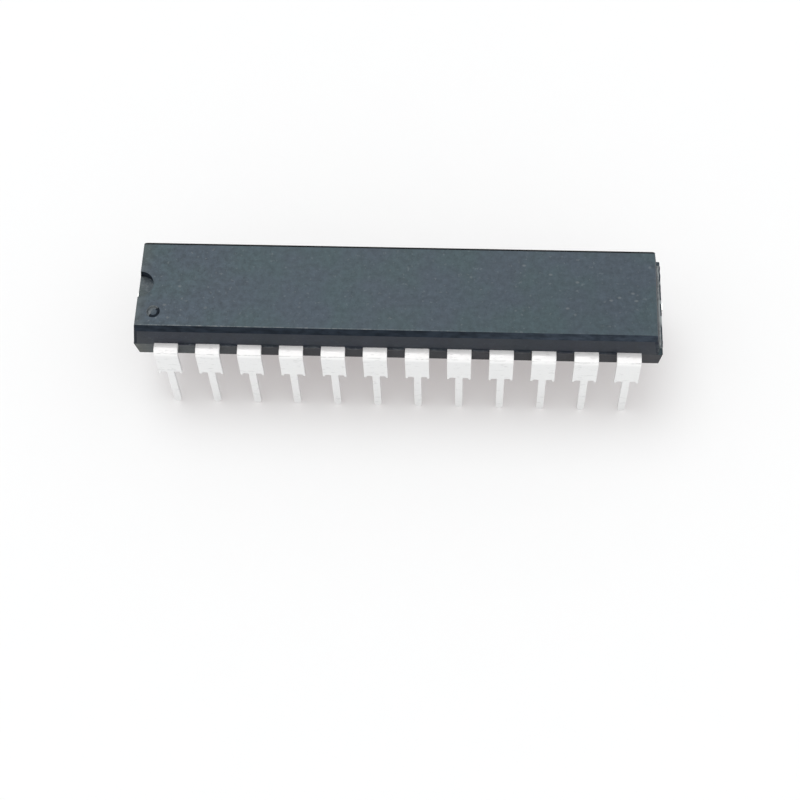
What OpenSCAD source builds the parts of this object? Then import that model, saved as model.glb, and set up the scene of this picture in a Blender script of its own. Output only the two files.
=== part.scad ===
// Plastic dual-in-line chip with 24 leads, standing on its lead tips.
// X runs along the body with the notched end at -X, Y across it with pin 1 at -Y, Z up.
// The origin is on the surface under the middle of the lead pattern. Millimetres.

/* [Body] */
// Length of the moulding at the parting line
body_l = 31.95; // [31.3:0.05:33]
// Width of the moulding at the parting line
body_w = 6.45; // [6.3:0.05:6.8]
// Thickness of the upper half, from the parting line to the top face
top_half_t = 1.65; // [1.4:0.05:2.2]
// Thickness of the lower half, from the parting line to the underside
low_half_t = 1.65; // [1.2:0.05:2.2]
// Draft angle of the sides
draft = 5.5; // [3:0.5:8]
// Draft angle of the ends above the parting line
top_end_draft = 9.8; // [3:0.1:11]
// Draft angle of the ends below the parting line
low_end_draft = 3.4; // [2:0.1:11]
// Chamfer along the long edges of the top face and the underside
edge_chamfer = 0.28; // [0.1:0.02:0.4]
// How far the right end of the upper half is set back from the lower one
end_step = 0.19; // [0.05:0.01:0.3]

/* [Pin 1 marks] */
// Radius of the half-round notch in the left end
notch_r = 0.88; // [0.6:0.02:1.2]
// Depth of the notch below the top face
notch_depth = 0.6; // [0.3:0.05:1]
// Diameter of the round pin 1 dimple
dimple_d = 0.82; // [0.6:0.02:1.2]
// Depth of the dimple at its rim
dimple_depth = 0.18; // [0.16:0.01:0.25]
// Rise of the low dome in the middle of the dimple
dimple_dome = 0.14; // [0.04:0.01:0.15]
// Distance of the dimple's centre from the left end of the top face
dimple_from_end = 1.05; // [0.8:0.05:1.6]
// Distance of the dimple's centre from the front edge of the top face
dimple_from_front = 0.95; // [0.7:0.05:1.3]

/* [Ejector marks] */
// Diameter of the two round marks on the underside
ejector_d = 3.15; // [2:0.05:4]
// Depth of the marks
ejector_depth = 0.12; // [0.05:0.01:0.3]
// Distance of each mark from the middle of the body
ejector_x = 11.1; // [8:0.1:12.5]

/* [Gate and flash] */
// Width of the rough gate mark across the right end
gate_w = 5.6; // [3:0.1:6]
// Height of the gate mark above the parting line
gate_h = 0.3; // [0.15:0.05:0.6]
// How far the gate mark stands out past the parting line
gate_out = 0.05; // [0.02:0.01:0.1]
// How far the thin flash stands out between the leads
flash_out = 0.05; // [0.02:0.01:0.1]
// Gap between the flash and the leads beside it
flash_gap = 0.03; // [0.01:0.01:0.1]

/* [Leads] */
// Distance from one lead to the next
pitch = 2.54; // [2.5:0.01:2.58]
// Distance between the two rows of leads at the shoulders, centre to centre
row_spacing = 7.62; // [7.55:0.01:7.9]
// Thickness of the lead frame
lead_t = 0.25; // [0.2:0.01:0.3]
// Width of the upper part of a lead
shoulder_w = 1.46; // [1.3:0.02:1.7]
// Width of the narrow leg
leg_w = 0.46; // [0.38:0.01:0.56]
// Inner radius of the bend in the shoulder
bend_r = 0.2; // [0.1:0.02:0.24]
// Angle by which the legs splay outwards
splay = 5.4; // [0:0.1:8]
// Height of the body's underside above the seating step
standoff = 0.5; // [0.38:0.02:0.8]
// Height of the seating step above the lead tips
leg_l = 3.3; // [2.9:0.05:3.8]
// Width of the stub that the cut dam bar leaves at each corner of the step
stub_w = 0.14; // [0.08:0.01:0.2]
// Height of that stub
stub_h = 0.16; // [0.08:0.01:0.25]
// Corner radius of the cut between stub and leg
cut_r = 0.07; // [0.03:0.01:0.1]

/* [Inside the body] */
// How far the wide part of a lead reaches into the body
root_in = 0.5; // [0.3:0.05:0.7]
// Width of a lead's finger where it runs inwards
finger_in_w = 0.5; // [0.3:0.05:0.7]
// Width of a lead's finger where it runs along the body
finger_w = 0.3; // [0.24:0.02:0.32]
// Gap between neighbouring fingers
finger_gap = 0.2; // [0.16:0.01:0.22]
// Length of the die paddle
paddle_l = 5.6; // [4.4:0.1:6]
// Width of the die paddle
paddle_w = 2.9; // [2.6:0.1:3.1]
// Gap between the paddle and the finger tips
tip_gap = 0.3; // [0.2:0.05:0.4]
// Width of the tie bars that carry the paddle
tie_w = 0.4; // [0.3:0.02:0.44]
// Least that the cut tie bars stand out of the body's ends
tie_out = 0.05; // [0.02:0.01:0.1]
// Length of the die
die_l = 3.4; // [2.8:0.1:3.8]
// Width of the die
die_w = 2.1; // [1.9:0.05:2.3]
// Thickness of the die
die_t = 0.3; // [0.2:0.02:0.4]
// Thickness of the adhesive under the die
attach_t = 0.03; // [0.02:0.005:0.06]
// How far the adhesive shows round the die
attach_rim = 0.1; // [0.05:0.01:0.2]

/* [Bond wires] */
// Diameter of a bond wire
wire_d = 0.03; // [0.025:0.005:0.05]
// Height of the wire's loop above the die
loop_h = 0.2; // [0.15:0.01:0.3]
// Diameter of the ball bond on the die
ball_d = 0.09; // [0.07:0.005:0.12]
// Height of the ball bond
ball_h = 0.03; // [0.02:0.005:0.05]
// Diameter of the foot bond on the finger
foot_d = 0.1; // [0.08:0.005:0.14]
// Height of the foot bond
foot_h = 0.045; // [0.04:0.005:0.06]
// Distance of the foot bond from the finger's tip
foot_in = 0.2; // [0.12:0.02:0.3]
// Distance of the bond pads from the die's edge
pad_in = 0.12; // [0.08:0.01:0.2]
// Distance between neighbouring bond pads on the die's short sides
pad_pitch = 0.22; // [0.14:0.01:0.24]

/* [Hidden] */
$fn = 48;
// The package has two rows of twelve leads, six on each side of the middle
per_side = 6;
per_row = 2 * per_side;
lead_count = 2 * per_row;

// Heights above the lead tips
underside_z = leg_l + standoff;
plane_z = underside_z + low_half_t;
top_z = plane_z + top_half_t;
finger_top_z = plane_z + lead_t / 2;
die_top_z = finger_top_z + attach_t + die_t;

// Both halves draft inwards from the parting line
slope = tan(draft);
// Half length and half width of the top face before its long edges are chamfered
top_half_l = body_l / 2 - top_half_t * tan(top_end_draft);
top_half_w = body_w / 2 - (top_half_t - edge_chamfer) * slope - edge_chamfer;

// Bend: radius at the middle of the strip, and where it starts and ends
bend_mid = bend_r + lead_t / 2;
bend_y = row_spacing / 2 - bend_mid * cos(splay);
leg_top_z = plane_z - bend_mid + bend_mid * sin(splay);
// Lengths along the splayed leg, from the end of the bend
step_v = (leg_top_z - leg_l) / cos(splay);
tip_v = (leg_top_z - lead_t / 2 * sin(splay)) / cos(splay);

// Fingers: how far from the middle they run, and where they end
root_y = body_w / 2 - root_in;
run_pitch = finger_w + finger_gap;
run_y0 = tie_w / 2 + finger_gap + finger_w / 2;
inner_tip_x = paddle_l / 2 + tip_gap;
outer_tip_x = 1.5 * pitch + finger_in_w / 2 + finger_gap;
// How many leads on each side of the middle go straight in
straight_count = 2;

// The gate mark's broken edge: steps along it, its depth into the body and its roughness
gate_steps = 14;
gate_in = 0.15;
gate_rough = 0.6;
// The tie bars are cut off level with the highest point of that edge
tie_end_x = body_l / 2 + max(tie_out, gate_out * (1 + gate_rough));
// Depth of the flash into the body
web_in = 0.25;

// Pads on the die's long sides, as shares of half its length
long_pads = [0.35, 0.75];

function numbered(name, n) = str(name, n < 10 ? "_0" : "_", n);

// Pin numbers run left to right along the front row and back along the rear one
function lead_x(n) = (n <= per_row ? n - 0.5 - per_side : lead_count + 0.5 - n - per_side) * pitch;
function lead_side(n) = n <= per_row ? -1 : 1;
// Place of a lead counted outwards from the middle, from 0
function lead_k(n) = round(abs(lead_x(n)) / pitch - 0.5);

// Line along which the finger of lead k runs along the body
function run_y(k) = run_y0 + (per_side - 1 - k) * run_pitch;
function run_tip_x(k) = k == straight_count ? outer_tip_x : inner_tip_x;
function straight_tip_y(k) = k == 0
    ? paddle_w / 2 + tip_gap
    : run_y(straight_count + 1) + run_pitch - finger_w / 2;
function foot_xy(k) = k < straight_count
    ? [(k + 0.5) * pitch, straight_tip_y(k) + foot_in]
    : [run_tip_x(k) + foot_in, run_y(k)];
function pad_xy(k) = k < straight_count
    ? [long_pads[k] * die_l / 2, die_w / 2 - pad_in]
    : [die_l / 2 - pad_in, (per_side - k - 0.5) * pad_pitch];

// Puts a shape made for the rear right quarter where lead n is
module at_lead(n) {
    mirror([0, lead_side(n) < 0 ? 1 : 0, 0])
        mirror([lead_x(n) < 0 ? 1 : 0, 0, 0])
            children();
}

// Body

// Cross-section of a half: drafted walls and chamfered long edges
module cross_section(t) {
    wall_y = body_w / 2 - (t - edge_chamfer) * slope;
    polygon([
        [-body_w / 2, 0], [body_w / 2, 0],
        [wall_y, t - edge_chamfer], [wall_y - edge_chamfer, t],
        [edge_chamfer - wall_y, t], [-wall_y, t - edge_chamfer]
    ]);
}

// Lengthwise section of a half: drafted ends, the right one set back by a step
module long_section(t, end_draft, step) {
    inset = t * tan(end_draft);
    polygon([
        [-body_l / 2, 0], [body_l / 2 - step, 0],
        [body_l / 2 - step - inset, t], [inset - body_l / 2, t]
    ]);
}

// Half of the moulding above the parting line
module body_half(t, end_draft, step) {
    intersection() {
        rotate([90, 0, 90])
            linear_extrude(2 * body_l, center = true)
                cross_section(t);
        rotate([90, 0, 0])
            linear_extrude(2 * body_w, center = true)
                long_section(t, end_draft, step);
    }
}

module shell() {
    translate([0, 0, plane_z]) {
        body_half(top_half_t, top_end_draft, end_step);
        mirror([0, 0, 1]) body_half(low_half_t, low_end_draft, 0);
    }
    gate_mark();
    lead_flash();
}

// Broken edge left where the runner was snapped off the right end
module gate_mark() {
    translate([0, 0, plane_z - gate_h / 4])
        linear_extrude(gate_h)
            polygon(concat(
                [for (y = [1, -1]) [body_l / 2 - end_step - gate_in, y * gate_w / 2]],
                [for (i = [0 : gate_steps]) [
                    body_l / 2 + gate_out * (1 + gate_rough * sin(i * 137) * sin(i * 61)),
                    gate_w * (i / gate_steps - 0.5)
                ]]
            ));
}

// Thin web of resin left between neighbouring leads at the parting line
module lead_flash() {
    web_w = pitch - shoulder_w - 2 * flash_gap;
    for (y = [-1, 1], i = [1 - per_side : per_side - 1])
        translate([i * pitch, y * (body_w + flash_out - web_in) / 2, plane_z])
            cube([web_w, web_in + flash_out, lead_t], center = true);
}

// Half-round notch in the top of the left end
module notch() {
    translate([-top_half_l, 0, top_z - notch_depth])
        cylinder(h = 2 * notch_depth, r = notch_r);
}

// Round dimple by pin 1, with a low dome in its floor
module dimple() {
    dome_r = (pow(dimple_d / 2, 2) + pow(dimple_dome, 2)) / (2 * dimple_dome);
    floor_z = top_z - dimple_depth;
    translate([dimple_from_end - top_half_l, dimple_from_front - top_half_w, floor_z])
        difference() {
            cylinder(h = 2 * dimple_depth, d = dimple_d);
            translate([0, 0, dimple_dome - dome_r])
                sphere(r = dome_r);
        }
}

module ejector_marks() {
    for (x = [-1, 1])
        translate([x * ejector_x, 0, underside_z - ejector_depth])
            cylinder(h = 2 * ejector_depth, d = ejector_d);
}

module body() {
    color("#3b4045")
        difference() {
            shell();
            notch();
            dimple();
            ejector_marks();
            for (n = [1 : lead_count]) {
                lead_shape(n);
                wire_shape(n);
            }
            paddle_shape();
            attach_shape();
            die_shape();
        }
}

// Leads

// Flat outline of the part below the bend: wide shoulder, stubs of the dam bar, narrow leg
module leg_outline() {
    difference() {
        translate([-shoulder_w / 2, -step_v])
            square([shoulder_w, step_v]);
        for (x = [-1, 1])
            translate([x * (leg_w + shoulder_w - 2 * stub_w) / 4, -step_v])
                dam_bar_cut((shoulder_w - leg_w) / 2 - stub_w);
    }
    translate([-leg_w / 2, leg_w / 2 - tip_v])
        square([leg_w, tip_v - leg_w / 2]);
    translate([0, leg_w / 2 - tip_v])
        circle(d = leg_w);
}

// Cut of a given width, open at the bottom, with round inner corners
module dam_bar_cut(w) {
    translate([-w / 2, -stub_h])
        square([w, 2 * stub_h - cut_r]);
    translate([cut_r - w / 2, 0])
        square([w - 2 * cut_r, stub_h]);
    for (x = [-1, 1])
        translate([x * (w / 2 - cut_r), stub_h - cut_r])
            circle(r = cut_r);
}

// Flat outline of the finger of lead k, from the bend to its tip inside the body
module finger_outline(k) {
    x = (k + 0.5) * pitch;
    inner_y = k < straight_count ? straight_tip_y(k) : run_y(k) - finger_w / 2;
    translate([x - shoulder_w / 2, root_y])
        square([shoulder_w, bend_y - root_y]);
    translate([x - finger_in_w / 2, inner_y])
        square([finger_in_w, root_y - inner_y]);
    if (k >= straight_count)
        translate([run_tip_x(k), run_y(k) - finger_w / 2])
            square([x - run_tip_x(k), finger_w]);
}

module lead_shape(n) {
    k = lead_k(n);
    x = (k + 0.5) * pitch;
    at_lead(n) {
        translate([0, 0, plane_z])
            linear_extrude(lead_t, center = true)
                finger_outline(k);
        translate([x, bend_y, plane_z - bend_mid])
            rotate([90, 0, 90])
                rotate([0, 0, splay])
                    rotate_extrude(angle = 90 - splay)
                        translate([bend_r, -shoulder_w / 2])
                            square([lead_t, shoulder_w]);
        translate([x, row_spacing / 2, leg_top_z])
            rotate([splay + 90, 0, 0])
                linear_extrude(lead_t, center = true)
                    leg_outline();
    }
}

module lead(n) {
    color("silver") lead_shape(n);
}

// Die and its carrier

module paddle_shape() {
    translate([0, 0, plane_z])
        linear_extrude(lead_t, center = true) {
            square([paddle_l, paddle_w], center = true);
            square([2 * tie_end_x, tie_w], center = true);
        }
}

module die_paddle() {
    color("silver") paddle_shape();
}

module attach_shape() {
    translate([0, 0, finger_top_z + attach_t / 2])
        cube([die_l + 2 * attach_rim, die_w + 2 * attach_rim, attach_t], center = true);
}

module die_attach() {
    color("gainsboro") attach_shape();
}

module die_shape() {
    translate([0, 0, die_top_z - die_t / 2])
        cube([die_l, die_w, die_t], center = true);
}

module die() {
    color("slategray") die_shape();
}

// Bond wires

// Straight round rod from one point to another
module rod(from, to, d) {
    v = to - from;
    translate(from)
        rotate([0, acos(v.z / norm(v)), atan2(v.y, v.x)])
            cylinder(h = norm(v), d = d, $fn = 16);
}

// Ball bond on the die, neck, straight run down to the finger, foot bond
module wire_shape(n) {
    k = lead_k(n);
    pad = [pad_xy(k).x, pad_xy(k).y, die_top_z];
    foot = [foot_xy(k).x, foot_xy(k).y, finger_top_z];
    crest = pad + [0, 0, loop_h];
    at_lead(n) {
        translate(pad) cylinder(h = ball_h, d = ball_d);
        translate(pad) cylinder(h = loop_h, d = wire_d, $fn = 16);
        translate(crest) sphere(d = 1.2 * wire_d, $fn = 16);
        rod(crest, foot + [0, 0, foot_h * 0.6], wire_d);
        translate(foot) cylinder(h = foot_h, d = foot_d);
    }
}

module bond_wire(n) {
    color("gold") wire_shape(n);
}

body();
die_paddle();
die_attach();
die();
for (n = [1 : lead_count]) {
    lead(n);
    bond_wire(n);
}
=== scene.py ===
"""Plastic dual-in-line chip on its leads, on a plain pale floor.

The moulding, its flash and the leads are modelled here. The pieces sealed in the moulding keep
their CAD meshes and get their finishes. Meshes are worked in millimetres, because the mesh
operators round off fine detail in metres, and are scaled to metres when a piece is finished.
"""

import math

import bmesh
import bpy
from mathutils import Matrix, Vector, noise


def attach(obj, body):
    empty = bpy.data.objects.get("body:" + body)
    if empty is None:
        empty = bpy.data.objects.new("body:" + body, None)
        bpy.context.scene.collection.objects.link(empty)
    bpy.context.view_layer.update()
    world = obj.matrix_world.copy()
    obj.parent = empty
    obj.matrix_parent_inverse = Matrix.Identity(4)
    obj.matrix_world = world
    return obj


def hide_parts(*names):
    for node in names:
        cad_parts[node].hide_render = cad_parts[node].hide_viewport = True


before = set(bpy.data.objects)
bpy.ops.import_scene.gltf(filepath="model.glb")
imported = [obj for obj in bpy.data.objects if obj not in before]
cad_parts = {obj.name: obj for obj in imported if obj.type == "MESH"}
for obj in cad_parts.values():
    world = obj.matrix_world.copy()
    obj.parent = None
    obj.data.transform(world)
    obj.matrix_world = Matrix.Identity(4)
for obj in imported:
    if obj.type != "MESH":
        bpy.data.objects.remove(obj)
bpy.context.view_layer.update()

bl_info = {
    "name": "Dual-in-line chip",
    "version": (1, 0, 0),
    "blender": (4, 5, 0),
    "location": "3D View > Sidebar > Chip",
    "description": "Builds a plastic dual-in-line chip around its CAD frame",
    "category": "Object",
}

MM = 0.001
LEADS_PER_SIDE = 6
LEADS_PER_ROW = 2 * LEADS_PER_SIDE
LEAD_COUNT = 2 * LEADS_PER_ROW
# Leads nearer the middle than this one go straight in to the die
STRAIGHT_LEADS = 2
LEAD_NODES = [f"lead_{n:02d}" for n in range(1, LEAD_COUNT + 1)]
WIRE_NODES = [f"bond_wire_{n:02d}" for n in range(1, LEAD_COUNT + 1)]
# Where grains of pale dust lie on the top, in millimetres from its middle
DUST = [(9.2, 1.2), (10.8, 0.7), (12.8, -0.5), (13.3, -0.3), (14.1, 0.0), (14.3, -0.5)]
DUST += [(10.2, -1.1), (7.6, 1.8), (-13.2, -0.1), (-14.0, -1.4)]
# Rays that see the floor's glow, and surroundings that are plain white
SEEN_RAYS = ("Is Camera Ray", "Is Glossy Ray", "Is Transmission Ray")
# The way the lamp shines, and how broad it is in degrees
LAMP_WAY = (0.2, -0.36, -0.91)
LAMP_BREADTH = 40
# Points nearer than this are one, in millimetres
NEAR = 1e-4
# A face leans when its normal has more than this share of its length in that direction
LEANING = 0.34
# Painted shade lies on the dimple's side this way from its middle; its other side gets painted
# light on the ring and a painted highlight on the dome
DIMPLE_SHADE = (0.75, -0.65)
# How far faces are paled to the filler: wear on the ejector marks, the gate and the flash;
# painted light on the dimple's ring and the notch floor; wear with a painted highlight on the
# right end's edge and corners
WEAR_AND_PAINTED_LIGHT = {
    "ejector mark": 1.1,
    "dimple ring painted light": 1.0,
    "notch floor painted light": 0.5,
    "end edge wear and highlight": 0.8,
    "end corner wear and highlight": 0.5,
    "gate": 1.6,
    "flash": 0.4,
}


# Properties


def size(name, description, millimetres):
    """A length that shows in the sidebar, given in millimetres and kept in metres."""
    return bpy.props.FloatProperty(
        name=name,
        description=description,
        default=millimetres * MM,
        precision=5,
        subtype="DISTANCE",
        unit="LENGTH",
    )


def angle(name, description, degrees):
    """An angle that shows in the sidebar, given in degrees."""
    return bpy.props.FloatProperty(
        name=name,
        description=description,
        default=math.radians(degrees),
        subtype="ANGLE",
        unit="ROTATION",
    )


def colour(name, description, rgb):
    """A colour that shows in the sidebar."""
    return bpy.props.FloatVectorProperty(
        name=name,
        description=description,
        default=rgb,
        size=3,
        min=0,
        max=1,
        subtype="COLOR",
    )


def level(name, description, value, high=10):
    """A plain number that shows in the sidebar."""
    return bpy.props.FloatProperty(
        name=name, description=description, default=value, min=0, max=high
    )


class MouldingSettings(bpy.types.PropertyGroup):
    """Sizes and colour of the moulding"""

    length: size("Length", "Length at the parting line", 31.95)
    width: size("Width", "Width at the parting line", 6.45)
    half: size("Half thickness", "Thickness on each side of the parting line", 1.65)
    parting: size("Parting height", "Height of the parting line above the floor", 5.45)
    draft: angle("Draft", "Draft of the sides", 5.5)
    top_draft: angle("Top end draft", "Draft of the ends above the parting line", 9.8)
    low_draft: angle("Low end draft", "Draft of the ends below the parting line", 3.4)
    chamfer: size("Chamfer", "Chamfer along the long edges", 0.28)
    end_step: size("End step", "How far the top's right end is set back", 0.19)
    edge: size("Edge radius", "Radius that rounds the outer edges", 0.05)
    corner: size("Corner radius", "Radius of the upper half's upright corners", 0.2)
    low_corner: size("Low corner radius", "Radius of the lower half's upright corners", 0.07)
    mark_edge: size("Mark edge radius", "Radius that rounds the marks' edges", 0.04)
    notch: size("Notch radius", "Radius of the notch in the left end", 0.88)
    notch_depth: size("Notch depth", "Depth of the notch", 0.6)
    dimple: size("Dimple radius", "Radius of the pin 1 dimple", 0.41)
    dimple_depth: size("Dimple depth", "Depth of the dimple at its rim", 0.18)
    dimple_dome: size("Dimple dome", "Rise of the dome in the dimple", 0.14)
    dimple_x: size("Dimple from end", "Distance from the left end of the top", 1.05)
    dimple_y: size("Dimple from front", "Distance from the front of the top", 0.95)
    ejector: size("Ejector mark radius", "Radius of the marks underneath", 1.575)
    ejector_depth: size("Ejector mark depth", "Depth of those marks", 0.12)
    ejector_x: size("Ejector mark place", "Distance of a mark from the middle", 11.1)
    gate_width: size("Gate width", "Width of the broken gate edge", 5.6)
    gate_height: size("Gate height", "Height of the broken gate edge", 0.3)
    gate_out: size("Gate reach", "How far the gate edge stands out", 0.05)
    flash_out: size("Flash reach", "How far the flash stands out", 0.05)
    flash_gap: size("Flash gap", "Gap between flash and lead", 0.03)
    compound: colour("Compound", "Colour of the compound", (0.044, 0.0635, 0.0785))
    # Painted shade: the colour of the chamfers and of the shaded mark walls
    dark: colour("Dark compound", "Colour along the chamfers", (0.019, 0.025, 0.034))
    filler: colour("Filler", "Colour where the compound is broken", (0.185, 0.2, 0.205))


class LeadSettings(bpy.types.PropertyGroup):
    """Sizes and colour of the leads"""

    pitch: size("Pitch", "Distance from lead to lead", 2.54)
    rows: size("Rows", "Distance between the rows at the shoulders", 7.62)
    thickness: size("Thickness", "Thickness of the strip", 0.25)
    shoulder: size("Shoulder width", "Width of the upper part", 1.46)
    leg: size("Leg width", "Width of the leg", 0.46)
    bend: size("Bend radius", "Inner radius of the bend", 0.2)
    splay: angle("Splay", "Outward angle of the legs", 5.4)
    leg_length: size("Leg length", "Height of the step above the tips", 3.3)
    stub: size("Stub width", "Width of the cut dam bar's stubs", 0.14)
    stub_height: size("Stub height", "Height of those stubs", 0.16)
    cut: size("Cut radius", "Corner radius beside the stubs", 0.07)
    rim: size("Rim radius", "Radius that rounds the stamped edges", 0.03)
    root: size("Root depth", "How far the wide part reaches in", 0.5)
    finger_in: size("Finger width inwards", "Width where a finger runs in", 0.5)
    finger: size("Finger width", "Width where a finger runs along", 0.3)
    gap: size("Finger gap", "Gap between fingers", 0.2)
    paddle_length: size("Paddle length", "Length of the die paddle", 5.6)
    paddle_width: size("Paddle width", "Width of the die paddle", 2.9)
    tip_gap: size("Tip gap", "Gap from paddle to finger tips", 0.3)
    tie: size("Tie bar width", "Width of the tie bars", 0.4)
    tin: colour("Tin", "Colour of the tin plating", (0.94, 0.93, 0.925))


class InsideSettings(bpy.types.PropertyGroup):
    """Colours of the pieces sealed in the moulding"""

    silver: colour("Paddle", "Silver plating of the paddle", (0.85, 0.85, 0.83))
    silicon: colour("Die", "Colour of the silicon die", (0.05, 0.06, 0.08))
    adhesive: colour("Adhesive", "Colour of the die adhesive", (0.55, 0.55, 0.53))
    gold: colour("Gold", "Colour of the bond wires", (0.95, 0.67, 0.24))


class StageSettings(bpy.types.PropertyGroup):
    """Floor, light and camera"""

    floor: colour("Floor", "Colour of the floor", (0.872, 0.929, 0.94))
    glow: colour("Glow", "Colour that the floor adds to its view", (1.0, 0.84, 0.81))
    glow_share: level("Glow share", "Share of that colour", 0.28, 1)
    lamp: level("Lamp", "Strength of the lamp", 0.9)
    front: level("Front", "Strength of the light from low in front", 1.1)
    sky: level("Sky", "Strength of the light from above and behind", 0.86)
    azimuth: angle("Azimuth", "Turn of the camera round the chip", -5.9589)
    elevation: angle("Elevation", "Angle of the camera above the floor", 64.3618)
    roll: angle("Roll", "Turn of the camera about its view", -4.0664)
    distance: size("Distance", "From the camera to the parting plane", 93.542)
    aim_x: size("Aim across", "How far right of its view the chip is", -0.1031)
    aim_y: size("Aim up", "How far above its view the chip is", 5.967)
    lens: level("Lens", "Focal length in millimetres", 68.803, 500)


# Shader maths


class Value:
    """An output socket, for use in expressions that add Math nodes."""

    def __init__(self, shader, socket):
        self.shader = shader
        self.socket = socket

    def __add__(self, other):
        return self.shader.maths("ADD", self, other)

    def __sub__(self, other):
        return self.shader.maths("SUBTRACT", self, other)

    def __rsub__(self, other):
        return self.shader.maths("SUBTRACT", other, self)

    def __mul__(self, other):
        return self.shader.maths("MULTIPLY", self, other)

    def __abs__(self):
        return self.shader.maths("ABSOLUTE", self)

    __radd__ = __add__
    __rmul__ = __mul__


class Shader:
    """A material or world that is built node by node."""

    def __init__(self, owner):
        self.owner = owner
        owner.use_nodes = True
        self.tree = owner.node_tree
        self.tree.nodes.clear()

    def node(self, kind, settings=None, sockets=None, out=0):
        """Adds a node, its settings first and its sockets' values or links next."""
        made = self.tree.nodes.new("ShaderNode" + kind)
        for name, value in (settings or {}).items():
            setattr(made, name, value)
        for name, value in (sockets or {}).items():
            if isinstance(value, Value):
                self.tree.links.new(value.socket, made.inputs[name])
            elif hasattr(value, "__len__"):
                wants = len(made.inputs[name].default_value)
                made.inputs[name].default_value = (*value, 1)[:wants]
            else:
                made.inputs[name].default_value = value
        return Value(self, made.outputs[out]) if made.outputs else made

    def place(self, scale=(1, 1, 1), turn=(0, 0, 0)):
        """The point on the piece, stretched by scale and turned."""
        point = self.node("TexCoord", out="Object")
        return self.node(
            "Mapping", {}, {"Vector": point, "Scale": scale, "Rotation": turn}
        )

    def grain(self, per_mm, detail=2, rough=0.5, stretch=(1, 1, 1), turn=(0, 0, 0)):
        """Noise with about that many grains in a millimetre."""
        return self.node(
            "TexNoise",
            {},
            {
                "Vector": self.place(stretch, turn),
                "Scale": per_mm / MM,
                "Detail": detail,
                "Roughness": rough,
            },
        )

    def part(self, vector, axis):
        """One coordinate of a point or direction."""
        parts = self.node("SeparateXYZ", {}, {0: vector})
        return Value(self, parts.socket.node.outputs[axis])

    def maths(self, operation, *values):
        """Adds a Math node with these values and gives its output."""
        return self.node("Math", {"operation": operation}, dict(enumerate(values)))

    def ramp(self, value, low, high, start=0.0, end=1.0):
        """start below low and end above high, with a smooth step between them."""
        return self.node(
            "MapRange",
            {"interpolation_type": "SMOOTHSTEP"},
            {0: value, 1: low, 2: high, 3: start, 4: end},
        )

    def mix(self, share, first, second):
        """A colour between two colours."""
        return self.node(
            "Mix", {"data_type": "RGBA"}, {0: share, 6: first, 7: second}, out=2
        )

    def times(self, first, second):
        """A colour multiplied by another."""
        settings = {"data_type": "RGBA", "blend_type": "MULTIPLY"}
        return self.node("Mix", settings, {0: 1.0, 6: first, 7: second}, out=2)

    def dots(self, spots, height, inner, outer):
        """1 within inner of one of those places at that height, 0 beyond outer.

        Across the piece these lengths are shorter, so that a dot is a little flat.
        """
        flat = 1.5
        point = self.place((1, flat, 1))
        nearest = None
        for x, y in spots:
            ends = {0: point, 1: (x * MM, flat * y * MM, height)}
            gap = self.node("VectorMath", {"operation": "DISTANCE"}, ends, out=1)
            nearest = gap if nearest is None else self.maths("MINIMUM", nearest, gap)
        return self.ramp(nearest, inner, outer, 1, 0)

    def own(self, name):
        """A number that the piece's own faces carry."""
        return self.node("Attribute", {"attribute_name": name}, out="Fac")

    def bump(self, height, depth):
        """A normal from a height between 0 and 1, for a relief of that depth in mm."""
        return self.node("Bump", {}, {"Height": height, "Distance": depth * MM})

    def seen(self):
        """1 for rays that are looked along, straight, reflected or let through, 0 for others."""
        rays = [self.node("LightPath", out=name) for name in SEEN_RAYS]
        return self.maths("MINIMUM", rays[0] + rays[1] + rays[2], 1.0)

    def surface(self, sockets):
        """Ends a material with one Principled shader and gives the material."""
        shader = self.node("BsdfPrincipled", {}, sockets)
        self.node("OutputMaterial", {}, {"Surface": shader})
        return self.owner


def finish(name):
    """An empty material of that name, made again if it is there."""
    old = bpy.data.materials.get(name)
    if old:
        bpy.data.materials.remove(old)
    return Shader(bpy.data.materials.new(name))


def top_front(s):
    """Where the front edge of the flat top lies, from the moulding's sizes."""
    return s.half * math.tan(s.draft) + s.chamfer * (1 - math.tan(s.draft)) - s.width / 2


def shade(rgb, factor):
    """A colour made lighter or darker."""
    return tuple(min(1.0, part * factor) for part in rgb)


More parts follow.
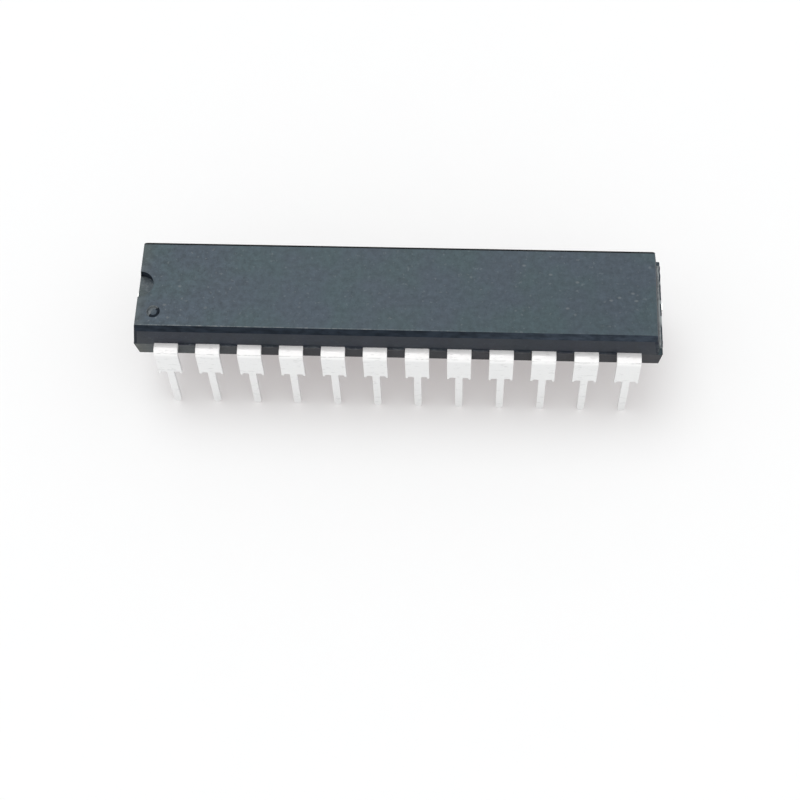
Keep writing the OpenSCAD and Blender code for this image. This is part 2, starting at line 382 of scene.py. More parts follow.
def compound_finish(s):
    """Matte moulding compound: sparked grain, flecks, clouds, wear and broken edges, with painted
    shade on the walls and painted light and highlights in places.
    """
    # Painted shade factors for the walls, then tints
    upper_wall_shade, lower_wall_shade, notched_wall = (0.2, 0.19, 0.27), (0.2, 0.14, 0.19), (1.12, 0.88, 0.8)
    green, purple, brown = (0.98, 1.05, 0.97), (1.05, 0.98, 1.03), (1.3, 1.14, 0.98)
    sh = finish("Moulding compound")
    place = sh.place()
    fine = sh.grain(11, 3, 0.6)
    mottle = sh.grain(2.4, 4, 0.7)
    clouds = sh.grain(0.2, 3)
    across, height = sh.part(place, "X"), sh.part(place, "Z")
    # The grain is stronger towards the notched end
    strength = sh.ramp(across, -15.5 * MM, -5 * MM, 1.0, 0.6)
    tone = sh.ramp((mottle + clouds * 0.3 - 0.65) * strength + 0.5, 0.3, 0.7)
    base = sh.mix(tone, shade(s.compound, 0.74), shade(s.compound, 1.26))
    tint = sh.mix(sh.ramp(sh.grain(0.33, 2), 0.35, 0.65), green, purple)
    # The walls are darkened as painted shade, and the lower half is browner and paler towards the
    # notched end
    lower = sh.mix(sh.ramp(across, -14 * MM, -6 * MM), notched_wall, lower_wall_shade)
    parted = sh.ramp(height, s.parting - 0.03 * MM, s.parting + 0.03 * MM)
    side = sh.own("side")
    walls = sh.mix(side, (1, 1, 1), sh.mix(parted, lower, upper_wall_shade))
    handled = sh.ramp(across + clouds * MM, -15.3 * MM, -14.3 * MM, 1, 0)
    ends = sh.mix(handled, (1, 1, 1), brown)
    base = sh.times(sh.times(sh.times(base, tint), ends), walls)
    # Flecks, pits and specks show less in the walls
    shown = 1 - side * 0.65
    flecks = sh.ramp(sh.grain(4.2, 2, 0.6), 0.62, 0.76, 0, 0.4) * (strength * shown)
    pits = sh.ramp(sh.grain(4.6, 2, 0.6), 0.62, 0.74, 0, 0.5) * (strength * shown)
    base = sh.mix(flecks, sh.mix(pits, base, shade(s.compound, 0.3)), s.filler)
    cells = {"Vector": place, "Scale": 0.85 / MM, "Randomness": 1}
    chosen = sh.ramp(sh.node("TexVoronoi", {}, cells, out=1), 0.42, 0.56)
    speck = sh.ramp(sh.node("TexVoronoi", {}, cells) + fine * 0.06, 0.08, 0.14, 0.28, 0)
    base = sh.mix(speck * chosen * shown, base, s.filler)
    dust = sh.maths("MULTIPLY", sh.dots(DUST, s.parting + s.half, 0.04 * MM, 0.16 * MM), 0.4)
    base = sh.mix(dust, base, s.filler)
    # A paler, nibbled line runs along the front edge of the top and fades towards the gate: wear
    # with a painted highlight on the rounded edge
    from_edge = abs(sh.part(place, "Y") - top_front(s))
    above = sh.ramp(height, s.parting + s.half - 0.1 * MM, s.parting + s.half)
    fading = sh.ramp(across, -4 * MM, 10 * MM, 0.85, 0.3)
    edge_wear_and_highlight = sh.ramp(from_edge, 0.03 * MM, 0.11 * MM, 1, 0) * above * fading
    # Faces are paled to the filler by wear and by painted light
    worn = sh.maths("MAXIMUM", sh.own("worn"), edge_wear_and_highlight)
    wear_and_light_patches = sh.ramp(sh.grain(3.2, 4, 0.75) + worn * 0.25, 0.52, 0.9) * worn
    torn = sh.own("torn") * sh.ramp(mottle, 0.35, 0.6)
    bare = sh.mix(torn, s.filler, shade(s.filler, 1.7))
    return sh.surface(
        {
            "Base Color": sh.mix(wear_and_light_patches, base, bare),
            "Roughness": sh.ramp(fine * 0.4 + clouds * 0.6, 0.3, 0.7, 0.42, 0.52),
            "Specular IOR Level": 0.32,
            "Specular Tint": (0.86, 0.95, 1.0),
            "Normal": sh.bump(fine * 0.5 + mottle * 0.5, 0.008),
        }
    )


def painted_shade_compound_finish(s):
    """Painted shade on the compound along the chamfers, in the marks and on the gate's rim:
    darker and dull, with drawn lines.
    """
    sh = finish("Dark compound")
    lines = sh.grain(4, 4, 0.65, (0.3, 1, 1))
    base = sh.mix(sh.ramp(lines, 0.3, 0.7), shade(s.dark, 0.65), shade(s.dark, 1.3))
    # Paler towards the gate, and darker still along the rear chamfers as painted shade
    along = sh.ramp(sh.part(sh.place(), "X"), 0, 12 * MM)
    paler, rear_painted_shade = (1.85, 1.8, 1.75), (0.12, 0.12, 0.12)
    base = sh.times(base, sh.mix(along, (1, 1, 1), paler))
    base = sh.times(base, sh.mix(sh.own("side"), (1, 1, 1), rear_painted_shade))
    return sh.surface(
        {
            "Base Color": base,
            "Roughness": sh.ramp(lines, 0.3, 0.7, 0.55, 0.65),
            "Specular IOR Level": 0.02,
            "Normal": sh.bump(lines, 0.004),
        }
    )


def tin_finish(s, sheared=False):
    """Dull tin plating with streaks along the strip, a darker broken line in the bend and
    smudges; painted light makes it paler above the bend and darker below it.
    """
    sh = finish("Sheared tin" if sheared else "Tin plating")
    streaks = sh.grain(7, 3, 0.6, (1, 0.2, 0.2))
    scuffs = sh.grain(5, 3, 0.65, (0.35, 1, 1))
    pores = sh.grain(16, 2)
    height = sh.part(sh.place(), "Z")
    bend = 5.4 * MM
    away = abs(height + (scuffs - 0.5) * (0.1 * MM) - bend)
    broken = sh.ramp(sh.grain(1.6, 2), 0.4, 0.55, 0.15, 0.55)
    # A darker broken line runs along the bend
    bend_line = sh.ramp(away, 0.008 * MM, 0.035 * MM, 1, 0) * broken
    smudge = sh.ramp(scuffs, 0.56, 0.7, 0, 0.28)
    # Painted light: paler above the bend, where the moulding shades the shoulders, and darker on
    # the legs
    tin = sh.mix(sh.ramp(height, 5.1 * MM, 5.5 * MM), shade(s.tin, 0.9), shade(s.tin, 1.05))
    base = sh.mix(sh.maths("MAXIMUM", bend_line, smudge), tin, shade(s.tin, 0.5))
    return sh.surface(
        {
            "Base Color": base,
            "Metallic": 0.35,
            "Roughness": sh.ramp(streaks * 0.5 + scuffs * 0.5, 0.3, 0.7, 0.4, 0.56),
            "Normal": sh.bump(streaks * 0.6 + pores * 0.4, 0.012 if sheared else 0.007),
        }
    )


def plated_finish(s):
    """Silver plating of the paddle, with the rolling marks of the strip."""
    sh = finish("Silver plating")
    rolled = sh.grain(12, 3, 0.6, (0.1, 1, 1))
    return sh.surface(
        {
            "Base Color": sh.mix(rolled, shade(s.silver, 0.85), s.silver),
            "Metallic": 1.0,
            "Roughness": sh.ramp(rolled, 0.3, 0.7, 0.25, 0.4),
            "Normal": sh.bump(rolled, 0.003),
        }
    )


def silicon_finish(s):
    """Polished silicon, divided into plain blocks."""
    sh = finish("Silicon")
    blocks = sh.node(
        "TexBrick",
        {"offset": 0.5},
        {
            "Vector": sh.place(),
            "Color1": shade(s.silicon, 0.8),
            "Color2": shade(s.silicon, 1.6),
            "Mortar": shade(s.silicon, 3),
            "Scale": 2.2 / MM,
            "Mortar Size": 0.03,
        },
    )
    return sh.surface(
        {
            "Base Color": blocks,
            "Metallic": 0.3,
            "Roughness": sh.ramp(sh.grain(6), 0.3, 0.7, 0.12, 0.2),
        }
    )


def adhesive_finish(s):
    """Silver-filled adhesive, grainy and dull."""
    sh = finish("Die adhesive")
    flakes = sh.grain(20, 3)
    return sh.surface(
        {
            "Base Color": sh.mix(flakes, shade(s.adhesive, 0.7), s.adhesive),
            "Metallic": 0.5,
            "Roughness": sh.ramp(flakes, 0.3, 0.7, 0.5, 0.7),
            "Normal": sh.bump(flakes, 0.004),
        }
    )


def gold_finish(s):
    """Bright drawn gold wire."""
    sh = finish("Gold")
    drawn = sh.grain(30, 2, 0.5, (0.2, 1, 1))
    return sh.surface(
        {
            "Base Color": sh.mix(drawn, shade(s.gold, 0.9), s.gold),
            "Metallic": 1.0,
            "Roughness": sh.ramp(drawn, 0.3, 0.7, 0.15, 0.28),
        }
    )


# Mesh work, in millimetres


class Millimetres:
    """Reads a property group's lengths in millimetres."""

    def __init__(self, group):
        self.group = group

    def __getattr__(self, name):
        return getattr(self.group, name) / MM


def everything(bm):
    """All the geometry of a mesh, as the cutting operators want it."""
    return bm.verts[:] + bm.edges[:] + bm.faces[:]


def round_off(bm, geom, radius, segments, affect="EDGES"):
    """Rounds edges or corners off with an arc."""
    return bmesh.ops.bevel(
        bm,
        geom=geom,
        offset=radius,
        segments=segments,
        profile=0.5,
        affect=affect,
        clamp_overlap=True,
        material=-1,
    )


def slice_at(bm, point, normal, clear=False):
    """Cuts a mesh along a plane; with clear, what is beyond it goes and the cut is closed."""
    cut = bmesh.ops.bisect_plane(
        bm,
        geom=everything(bm),
        dist=1e-5,
        plane_co=point,
        plane_no=normal,
        clear_outer=clear,
    )
    if clear:
        rim = [e for e in cut["geom_cut"] if isinstance(e, bmesh.types.BMEdge)]
        bmesh.ops.edgeloop_fill(bm, edges=rim)


def sharp_edges(bm, degrees):
    """Edges at which the faces turn by more than that angle."""
    limit = math.radians(degrees)
    return [
        e for e in bm.edges if len(e.link_faces) == 2 and e.calc_face_angle() > limit
    ]


def new_object(name, bm):
    """An object made of a mesh, which takes the place of an old one of its name."""
    old = bpy.data.objects.get(name)
    if old:
        bpy.data.meshes.remove(old.data)
    mesh = bpy.data.meshes.new(name)
    bm.to_mesh(mesh)
    bm.free()
    made = bpy.data.objects.new(name, mesh)
    bpy.context.scene.collection.objects.link(made)
    return made


def carve(bm, tool):
    """The mesh with the tool's shape cut out of it."""
    block = new_object("carved", bm)
    cutter = new_object("cutter", tool)
    modifier = block.modifiers.new("Cut", "BOOLEAN")
    modifier.object = cutter
    modifier.operation = "DIFFERENCE"
    modifier.solver = "EXACT"
    bpy.context.view_layer.update()
    seen = block.evaluated_get(bpy.context.evaluated_depsgraph_get())
    result = bmesh.new()
    result.from_mesh(seen.to_mesh())
    seen.to_mesh_clear()
    for part in (block, cutter):
        bpy.data.meshes.remove(part.data)
    bmesh.ops.remove_doubles(result, verts=result.verts, dist=NEAR)
    return result


def make_piece(name, bm, materials, nodes=()):
    """Turns a mesh in millimetres into a finished piece that rides on the chip's body."""
    bmesh.ops.scale(bm, vec=(MM, MM, MM), verts=bm.verts)
    piece = new_object(name, bm)
    piece.data.shade_smooth()
    for material in materials:
        piece.data.materials.append(material)
    normals = piece.modifiers.new("Flat faces stay flat", "WEIGHTED_NORMAL")
    normals.keep_sharp = True
    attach(piece, "root")
    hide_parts(*nodes)
    return piece


def disc_tool(radius, low, high, centre):
    """A plain round cutter from one height to another."""
    bm = bmesh.new()
    bmesh.ops.create_cone(
        bm,
        cap_ends=True,
        segments=64,
        radius1=radius,
        radius2=radius,
        depth=high - low,
        matrix=Matrix.Translation((*centre, (low + high) / 2)),
    )
    return bm


def dimple_tool(radius, depth, dome, centre, top):
    """A cutter whose lower end is hollowed, so that it leaves a low dome."""
    bm = bmesh.new()
    dome_radius = (radius**2 + dome**2) / (2 * dome)
    profile = [(0, depth), (radius, depth)]
    steps = 8
    for step in range(steps + 1):
        r = radius * (1 - step / steps)
        rise = math.sqrt(dome_radius**2 - r**2) - (dome_radius - dome)
        profile.append((r, rise - depth))
    points = [bm.verts.new((centre[0] + r, centre[1], top + z)) for r, z in profile]
    for first, second in zip(points, points[1:]):
        bm.edges.new((first, second))
    bmesh.ops.spin(
        bm,
        geom=bm.verts[:] + bm.edges[:],
        cent=(*centre, 0),
        axis=(0, 0, 1),
        angle=math.tau,
        steps=48,
        use_merge=True,
    )
    bmesh.ops.remove_doubles(bm, verts=bm.verts, dist=NEAR)
    bmesh.ops.recalc_face_normals(bm, faces=bm.faces)
    return bm


def end_tool(s, slope):
    """A cutter that sets the right end of the upper half back, with the draft of its wall."""
    bm = bmesh.new()
    length = 1
    height = s.half + 1
    middle = (s.length / 2 - s.end_step + length / 2, 0, s.parting + height / 2)
    bmesh.ops.create_cube(
        bm,
        size=1,
        matrix=Matrix.Translation(middle) @ Matrix.Diagonal((length, 2 * s.width, height, 1)),
    )
    for v in bm.verts:
        if v.co.x < middle[0]:
            v.co.x -= (v.co.z - s.parting) * slope
    return bm


def corner_tool(s, up, slope, end_slope):
    """Cutters that round the upright corners of the upper or the lower half."""
    bm = bmesh.new()
    radius = s.corner if up > 0 else s.low_corner
    steps = 6
    turns = [math.pi / 2 * step / steps for step in range(steps + 1)]
    outline = [(radius * (math.cos(t) - 1), radius * (math.sin(t) - 1)) for t in turns]
    outline += [(-radius, 1), (1, 1), (1, -radius)]
    # The cutters start a little beyond the parting plane, so that no film is left on it
    ends = (-0.01, s.half + 0.5)
    for end, side in ((-1, -1), (-1, 1), (1, -1), (1, 1)):
        back = s.end_step if end > 0 and up > 0 else 0
        rings = []
        for height in ends:
            x = s.length / 2 - back - height * end_slope
            y = s.width / 2 - height * slope
            z = s.parting + up * height
            rings.append([bm.verts.new((end * (x + p), side * (y + q), z)) for p, q in outline])
        low, high = rings
        bm.faces.new(low)
        bm.faces.new(high)
        for n in range(len(outline)):
            bm.faces.new((low[n - 1], low[n], high[n], high[n - 1]))
    bmesh.ops.recalc_face_normals(bm, faces=bm.faces)
    return bm


def mark_faces(bm, s, centre):
    """Gives chamfers and mark walls the painted-shade finish, marks walls for painted shade, and
    marks faces for wear and painted light.
    """
    notch_x = centre[0] - s.dimple_x
    notch_middle = s.parting + s.half - s.notch_depth / 2
    dome = s.dimple * 0.55
    worn = bm.faces.layers.float.new("worn")
    side = bm.faces.layers.float.new("side")
    for face in bm.faces:
        spot, normal = face.calc_center_median(), face.normal
        from_dimple = spot.xy - Vector(centre)
        # Walls are marked for their painted shade
        face[side] = float(abs(normal.z) < LEANING)
        # Chamfers get the painted-shade finish, and the rear ones are marked for more painted
        # shade
        if abs(normal.y) > LEANING and abs(normal.z) > LEANING:
            face.material_index = 1
            face[side] = float(normal.y > 0 and normal.z > 0)
        if spot.z < s.parting:
            from_mark = math.hypot(abs(spot.x) - s.ejector_x, spot.y)
            if from_mark < s.ejector and normal.z < -0.9:
                face[worn] = WEAR_AND_PAINTED_LIGHT["ejector mark"]
            continue
        # Painted shade on the dimple's one side, painted light on the rest of its ring, and a
        # painted highlight on its dome away from the shade
        if from_dimple.length < s.dimple + 0.02:
            face[side] = 0.0
            shaded = from_dimple.dot(Vector(DIMPLE_SHADE)) / s.dimple
            if from_dimple.length > dome:
                face.material_index = int(shaded > -0.1)
                face[worn] = WEAR_AND_PAINTED_LIGHT["dimple ring painted light"]
            else:
                face.material_index = 0
                face[worn] = max(0.0, 0.45 - 1.5 * shaded)
        # Painted shade on the notch's walls, and painted light on its lower floor
        elif math.hypot(spot.x - notch_x, spot.y) < s.notch + 0.01:
            face.material_index = int(normal.z < 0.5)
            face[side] = 0.0
            face[worn] = WEAR_AND_PAINTED_LIGHT["notch floor painted light"] if spot.z < notch_middle else 0.0
        # The right end's top edge and front corners are paled: wear with a painted highlight
        elif spot.x > 0 and normal.x > 0.1 and (normal.z > LEANING or normal.y < -0.1):
            face[worn] = WEAR_AND_PAINTED_LIGHT["end edge wear and highlight" if normal.z > LEANING else "end corner wear and highlight"]


def moulding_mesh(s):
    """The moulding: two drafted halves, chamfered, notched, dimpled and rounded."""
    slope = math.tan(s.group.draft)
    top_slope, low_slope = math.tan(s.group.top_draft), math.tan(s.group.low_draft)
    bm = bmesh.new()
    bmesh.ops.create_cube(bm, size=1)
    bmesh.ops.scale(bm, vec=(s.length, s.width, 2 * s.half), verts=bm.verts)
    slice_at(bm, (0, 0, 0), (0, 0, 1))
    for v in bm.verts:
        height = abs(v.co.z)
        v.co.x -= math.copysign(height * (top_slope if v.co.z > 0 else low_slope), v.co.x)
        v.co.y -= math.copysign(height * slope, v.co.y)
    wall_y = s.width / 2 - (s.half - s.chamfer) * slope
    for y in (-1, 1):
        for z in (-1, 1):
            slice_at(
                bm, (0, y * wall_y, z * (s.half - s.chamfer)), (0, y, z), clear=True
            )
    bmesh.ops.translate(bm, vec=(0, 0, s.parting), verts=bm.verts)
    bmesh.ops.recalc_face_normals(bm, faces=bm.faces)
    bm = carve(bm, end_tool(s, top_slope))
    round_off(bm, sharp_edges(bm, 25), s.edge, 3)

    top = s.parting + s.half
    under = s.parting - s.half
    end_x = s.half * top_slope - s.length / 2
    bm = carve(bm, disc_tool(s.notch, top - s.notch_depth, top + 1, (end_x, 0)))
    centre = (end_x + s.dimple_x, top_front(s.group) / MM + s.dimple_y)
    bm = carve(bm, dimple_tool(s.dimple, s.dimple_depth, s.dimple_dome, centre, top))
    for x in (-s.ejector_x, s.ejector_x):
        bm = carve(bm, disc_tool(s.ejector, under - 1, under + s.ejector_depth, (x, 0)))
    round_off(bm, sharp_edges(bm, 40), s.mark_edge, 2)
    bm = carve(bm, corner_tool(s, 1, slope, top_slope))
    bm = carve(bm, corner_tool(s, -1, slope, low_slope))
    mark_faces(bm, s, centre)
    return bm


def ragged_bar(bm, low, high, along, outwards, rough, cuts, seed):
    """Adds a closed bar whose outer edge is broken unevenly."""
    size_xyz = Vector(high) - Vector(low)
    middle = (Vector(high) + Vector(low)) / 2
    bar = bmesh.ops.create_cube(
        bm,
        size=1,
        matrix=Matrix.Translation(middle) @ Matrix.Diagonal((*size_xyz, 1)),
    )
    edges = {
        e
        for v in bar["verts"]
        for e in v.link_edges
        if abs(e.verts[0].co[along] - e.verts[1].co[along]) > size_xyz[along] / 2
    }
    bmesh.ops.subdivide_edges(bm, edges=list(edges), cuts=cuts, use_grid_fill=True)
    across = 1 - along
    reach = high[across] if outwards > 0 else low[across]
    for v in bm.verts:
        inside = low[along] - NEAR <= v.co[along] <= high[along] + NEAR
        if inside and abs(v.co[across] - reach) < NEAR:
            spot = Vector((v.co[along] * 3.1, v.co.z * 2.3, seed))
            v.co[across] -= outwards * rough * (0.5 + 0.5 * noise.noise(spot))


def gate_mesh(s):
    """The edge left where the runner was snapped off the right end."""
    bm = bmesh.new()
    worn = bm.faces.layers.float.new("worn")
    torn = bm.faces.layers.float.new("torn")
    x = s.length / 2
    embedded, rim_radius, cuts, seed = 0.1, 0.09, 60, 7.0
    low = (x - s.end_step - embedded, -s.gate_width / 2, s.parting - s.gate_height / 4)
    high = (x + s.gate_out / 2, s.gate_width / 2, s.parting + s.gate_height * 0.75)
    ragged_bar(bm, low, high, 1, 1, s.gate_out, cuts, seed)
    rim = [
        e
        for e in sharp_edges(bm, 50)
        if all(v.co.x > x - s.end_step and v.co.z > s.parting for v in e.verts)
        and abs(e.verts[0].co.z - e.verts[1].co.z) < 0.01
    ]
    slope = set(round_off(bm, rim, rim_radius, 3)["faces"])
    # Some of the rounded rim is smooth and gets painted shade, and the rest is torn
    for face in bm.faces:
        spot = face.calc_center_median() * 1.7
        if face in slope and noise.noise(spot) < 0.3:
            face.material_index = 1
        else:
            face[worn] = WEAR_AND_PAINTED_LIGHT["gate"]
            face[torn] = 1.0
    return bm


def flash_mesh(s, leads):
    """The thin webs of resin between neighbouring leads."""
    bm = bmesh.new()
    half = (leads.pitch - leads.shoulder) / 2 - s.flash_gap
    wall = s.width / 2
    embedded, rough, cuts = 0.25, 0.03, 10
    for side in (-1, 1):
        for number in range(1 - LEADS_PER_SIDE, LEADS_PER_SIDE):
            x = number * leads.pitch
            ys = sorted((side * (wall - embedded), side * (wall + s.flash_out)))
            low = (x - half, ys[0], s.parting - leads.thickness / 2)
            high = (x + half, ys[1], s.parting + leads.thickness / 2)
            ragged_bar(bm, low, high, 0, side, rough, cuts, number * 5.3 + side)
    worn = bm.faces.layers.float.new("worn")
    # The flash is marked as wall, for the walls' painted shade
    wall_share = bm.faces.layers.float.new("side")
    for face in bm.faces:
        face[worn] = WEAR_AND_PAINTED_LIGHT["flash"]
        face[wall_share] = 1.0
    return bm


def run_line(s, k):
    """Line along which the finger of the k-th lead from the middle runs."""
    first = s.tie / 2 + s.gap + s.finger / 2
    return first + (LEADS_PER_SIDE - 1 - k) * (s.finger + s.gap)


def finger_corners(s, k, root):
    """Corners of the part of lead k that lies inside the moulding, right to left."""
    x = (k + 0.5) * s.pitch
    half_in = s.finger_in / 2
    if k < STRAIGHT_LEADS:
        first_run = run_line(s, STRAIGHT_LEADS + 1) + s.finger + s.gap - s.finger / 2
        end = s.paddle_width / 2 + s.tip_gap if k == 0 else first_run
        return [(x - half_in, root), (x - half_in, end), (x + half_in, end), (x + half_in, root)]
    y = run_line(s, k)
    end_x = (
        1.5 * s.pitch + half_in + s.gap
        if k == STRAIGHT_LEADS
        else s.paddle_length / 2 + s.tip_gap
    )
    return [
        (x - half_in, root),
        (x - half_in, y + s.finger / 2),
        (end_x, y + s.finger / 2),
        (end_x, y - s.finger / 2),
        (x + half_in, y - s.finger / 2),
        (x + half_in, root),
    ]


def lead_mesh(s, k, parting, wall):
    """One lead of the right rear quarter: a flat stamped strip with rounded rims, then bent."""
    splay = s.group.splay
    turn = math.pi / 2 - splay
    middle = s.bend + s.thickness / 2
    bend_y = s.rows / 2 - middle * math.cos(splay)
    leg_top = parting - middle + middle * math.sin(splay)
    after = bend_y + middle * turn
    step = after + (leg_top - s.leg_length) / math.cos(splay)
    tip = after + (leg_top - s.thickness / 2 * math.sin(splay)) / math.cos(splay)

    x = (k + 0.5) * s.pitch
    half, leg = s.shoulder / 2, s.leg / 2
    inner, slot, root = half - s.stub, step - s.stub_height, wall - s.root
    bm = bmesh.new()

    def corner(across, along):
        return bm.verts.new((x + across, along, s.thickness / 2))

    outline = [corner(half, root)]
    stubs = [corner(half, step), corner(inner, step)]
    slots = [corner(inner, slot), corner(leg, slot)]
    tips = [corner(leg, tip), corner(-leg, tip)]
    more_slots = [corner(-leg, slot), corner(-inner, slot)]
    more_stubs = [corner(-inner, step), corner(-half, step)]
    outline += stubs + slots + tips + more_slots + more_stubs + [corner(-half, root)]
    for px, py in finger_corners(s, k, root):
        outline.append(bm.verts.new((px, py, s.thickness / 2)))
    bm.faces.new(outline)
    round_off(bm, tips, leg - 0.002, 8, "VERTICES")
    round_off(bm, slots + more_slots, s.cut, 4, "VERTICES")
    round_off(bm, stubs + more_stubs, s.rim, 2, "VERTICES")
    bmesh.ops.remove_doubles(bm, verts=bm.verts, dist=1e-3)

    lower = bmesh.ops.extrude_face_region(bm, geom=bm.faces[:])
    down = [v for v in lower["geom"] if isinstance(v, bmesh.types.BMVert)]
    bmesh.ops.translate(bm, vec=(0, 0, -s.thickness), verts=down)
    bmesh.ops.recalc_face_normals(bm, faces=bm.faces)
    for face in bm.faces:
        face.material_index = 0 if abs(face.normal.z) > 0.5 else 1
    rims = [e for e in sharp_edges(bm, 60) if abs(e.verts[0].co.z - e.verts[1].co.z) < NEAR]
    round_off(bm, rims, s.rim, 2)

    steps = 10
    for i in range(steps + 1):
        slice_at(bm, (0, bend_y + middle * turn * i / steps, 0), (0, 1, 0))
    for v in bm.verts:
        along, out = v.co.y - bend_y, v.co.z
        if along <= 0:
            v.co.z += parting
            continue
        bent = min(along / middle, turn)
        rest = along - bent * middle
        v.co.y = bend_y + (middle + out) * math.sin(bent) + rest * math.cos(bent)
        v.co.z = parting - middle + (middle + out) * math.cos(bent) - rest * math.sin(bent)
    return bm


# Operators


class CHIP_OT_moulding(bpy.types.Operator):
    """Model the moulding, its gate mark and the flash between the leads"""

    bl_idname = "chip.moulding"
    bl_label = "Moulding"

    def execute(self, context):
        settings = context.scene.chip_moulding
        s, leads = Millimetres(settings), Millimetres(context.scene.chip_leads)
        finishes = [compound_finish(settings), painted_shade_compound_finish(settings)]
        make_piece("moulding", moulding_mesh(s), finishes, ["body"])
        make_piece("gate_mark", gate_mesh(s), finishes)
        make_piece("lead_flash", flash_mesh(s, leads), finishes[:1])
        return {"FINISHED"}


class CHIP_OT_leads(bpy.types.Operator):
    """Model the twenty-four tinned leads"""

    bl_idname = "chip.leads"
    bl_label = "Leads"

    def execute(self, context):
        settings = context.scene.chip_leads
        moulding = Millimetres(context.scene.chip_moulding)
        s = Millimetres(settings)
        finishes = [tin_finish(settings), tin_finish(settings, sheared=True)]
        for number, node in enumerate(LEAD_NODES, 1):
            front = number <= LEADS_PER_ROW
            place = number - 0.5 - LEADS_PER_SIDE
            if not front:
                place = LEAD_COUNT + 0.5 - number - LEADS_PER_SIDE
            k = round(abs(place) - 0.5)
            bm = lead_mesh(s, k, moulding.parting, moulding.width / 2)
            flip_x = -1 if place < 0 else 1
            flip_y = -1 if front else 1
            bmesh.ops.scale(bm, vec=(flip_x, flip_y, 1), verts=bm.verts)
            bmesh.ops.recalc_face_normals(bm, faces=bm.faces)
            make_piece(f"tinned_{node}", bm, finishes, [node])
        return {"FINISHED"}


class CHIP_OT_inside(bpy.types.Operator):
    """Finish the paddle, the die, its adhesive and the bond wires"""

    bl_idname = "chip.inside"
    bl_label = "Inside"

    def execute(self, context):
        s = context.scene.chip_inside
        finishes = {
            "die_paddle": plated_finish(s),
            "die_attach": adhesive_finish(s),
            "die": silicon_finish(s),
        }
        gold = gold_finish(s)
        finishes.update({node: gold for node in WIRE_NODES})
        for node, material in finishes.items():
            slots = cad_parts[node].data.materials
            slots.clear()
            slots.append(material)
        return {"FINISHED"}


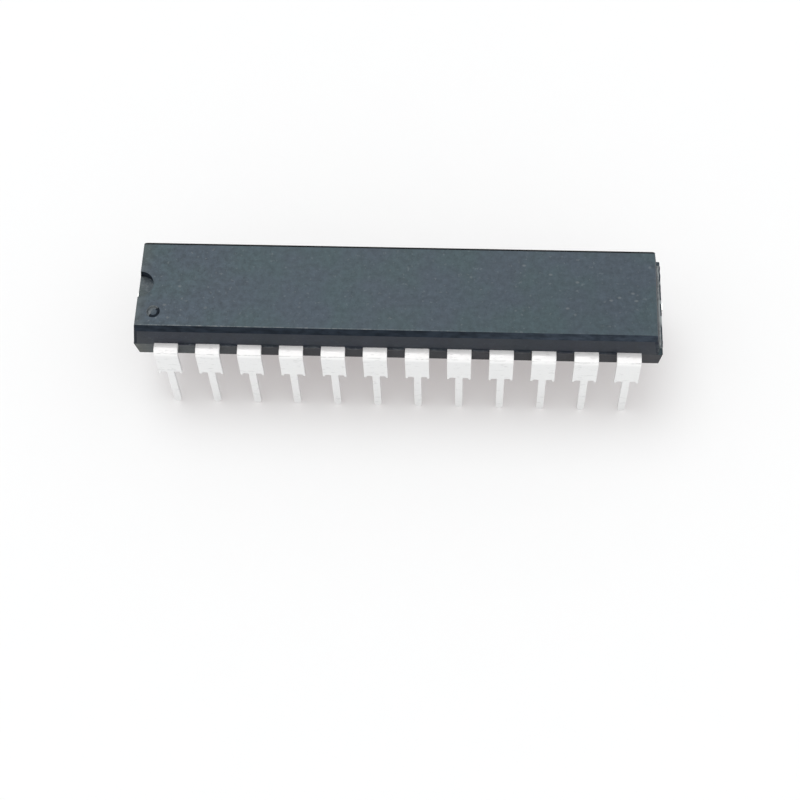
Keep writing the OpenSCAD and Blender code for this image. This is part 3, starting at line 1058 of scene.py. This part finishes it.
class CHIP_OT_stage(bpy.types.Operator):
    """Set the floor, the light and the camera"""

    bl_idname = "chip.stage"
    bl_label = "Stage"

    def execute(self, context):
        s = context.scene.chip_stage
        floor_bm = bmesh.new()
        bmesh.ops.create_grid(floor_bm, x_segments=4, y_segments=4, size=2)
        floor = new_object("floor", floor_bm)
        sh = finish("Floor")
        cloud = sh.node("TexNoise", {}, {"Vector": sh.place(), "Scale": 300.0})
        matte = sh.node(
            "BsdfPrincipled",
            {},
            {
                "Base Color": sh.mix(cloud, shade(s.floor, 0.99), s.floor),
                "Roughness": 0.9,
                "Specular IOR Level": 0.1,
            },
        )
        glow = sh.node("Emission", {}, {"Color": s.glow, "Strength": 0.98})
        mixed = sh.node("MixShader", {}, {0: sh.seen() * s.glow_share, 1: matte, 2: glow})
        sh.node("OutputMaterial", {}, {"Surface": mixed})
        floor.data.materials.append(sh.owner)
        self.light(context, s)
        self.camera(context, s)
        return {"FINISHED"}

    def light(self, context, s):
        """A broad lamp from above and behind, and pale surroundings, brighter low in front."""
        lamp = bpy.data.lights.new("lamp", "SUN")
        lamp.energy = s.lamp
        lamp.angle = math.radians(LAMP_BREADTH)
        holder = bpy.data.objects.new("lamp", lamp)
        holder.rotation_euler = Vector(LAMP_WAY).to_track_quat("-Z", "Y").to_euler()
        context.scene.collection.objects.link(holder)

        world = bpy.data.worlds.get("World") or bpy.data.worlds.new("World")
        context.scene.world = world
        sh = Shader(world)
        direction = sh.node("TexCoord", out="Generated")
        back, up = sh.part(direction, "Y"), sh.part(direction, "Z")
        amount = sh.ramp(back * 0.3 + up * 0.5, -0.3, 0.5, s.front, s.sky)
        seen = sh.seen()
        amount = amount * (1 - seen) + seen
        background = sh.node("Background", {}, {"Color": (1, 1, 1), "Strength": amount})
        sh.node("OutputWorld", {}, {"Surface": background})

    def camera(self, context, s):
        """The camera at the photograph's viewing angle."""
        flat = math.cos(s.elevation)
        forward = Vector(
            (math.sin(s.azimuth) * flat, math.cos(s.azimuth) * flat, -math.sin(s.elevation))
        )
        level_right = Vector((math.cos(s.azimuth), -math.sin(s.azimuth), 0))
        level_up = level_right.cross(forward)
        right = level_right * math.cos(s.roll) + level_up * math.sin(s.roll)
        up = level_up * math.cos(s.roll) - level_right * math.sin(s.roll)
        aim = Vector((0, 0, context.scene.chip_moulding.parting))
        place = aim - right * s.aim_x - up * s.aim_y - forward * s.distance
        lens = bpy.data.cameras.new("camera")
        lens.lens = s.lens
        lens.clip_start = 0.005
        holder = bpy.data.objects.new("camera", lens)
        holder.matrix_world = Matrix.Translation(place) @ Matrix(
            (right, up, -forward)
        ).transposed().to_4x4()
        context.scene.collection.objects.link(holder)
        context.scene.camera = holder
        context.scene.view_settings.view_transform = "Standard"


class CHIP_PT_sidebar(bpy.types.Panel):
    """Chip sizes, finishes and the operators that build it"""

    bl_label = "Chip"
    bl_idname = "CHIP_PT_sidebar"
    bl_space_type = "VIEW_3D"
    bl_region_type = "UI"
    bl_category = "Chip"

    def draw(self, context):
        for title, (group, operator) in STEPS.items():
            box = self.layout.box()
            box.label(text=title)
            settings = getattr(context.scene, group)
            for name in settings.__annotations__:
                box.prop(settings, name)
            box.operator(operator)


STEPS = {
    "Moulding": ("chip_moulding", "chip.moulding"),
    "Leads": ("chip_leads", "chip.leads"),
    "Inside": ("chip_inside", "chip.inside"),
    "Stage": ("chip_stage", "chip.stage"),
}
GROUPS = {
    "chip_moulding": MouldingSettings,
    "chip_leads": LeadSettings,
    "chip_inside": InsideSettings,
    "chip_stage": StageSettings,
}
OPERATORS = (CHIP_OT_moulding, CHIP_OT_leads, CHIP_OT_inside, CHIP_OT_stage)


def register():
    for cls in (*GROUPS.values(), *OPERATORS, CHIP_PT_sidebar):
        bpy.utils.register_class(cls)
    for name, group in GROUPS.items():
        setattr(bpy.types.Scene, name, bpy.props.PointerProperty(type=group))


def unregister():
    for name in GROUPS:
        delattr(bpy.types.Scene, name)
    for cls in (CHIP_PT_sidebar, *OPERATORS, *GROUPS.values()):
        bpy.utils.unregister_class(cls)


def main():
    register()
    bpy.ops.chip.moulding()
    bpy.ops.chip.leads()
    bpy.ops.chip.inside()
    bpy.ops.chip.stage()


if __name__ == "__main__":
    main()
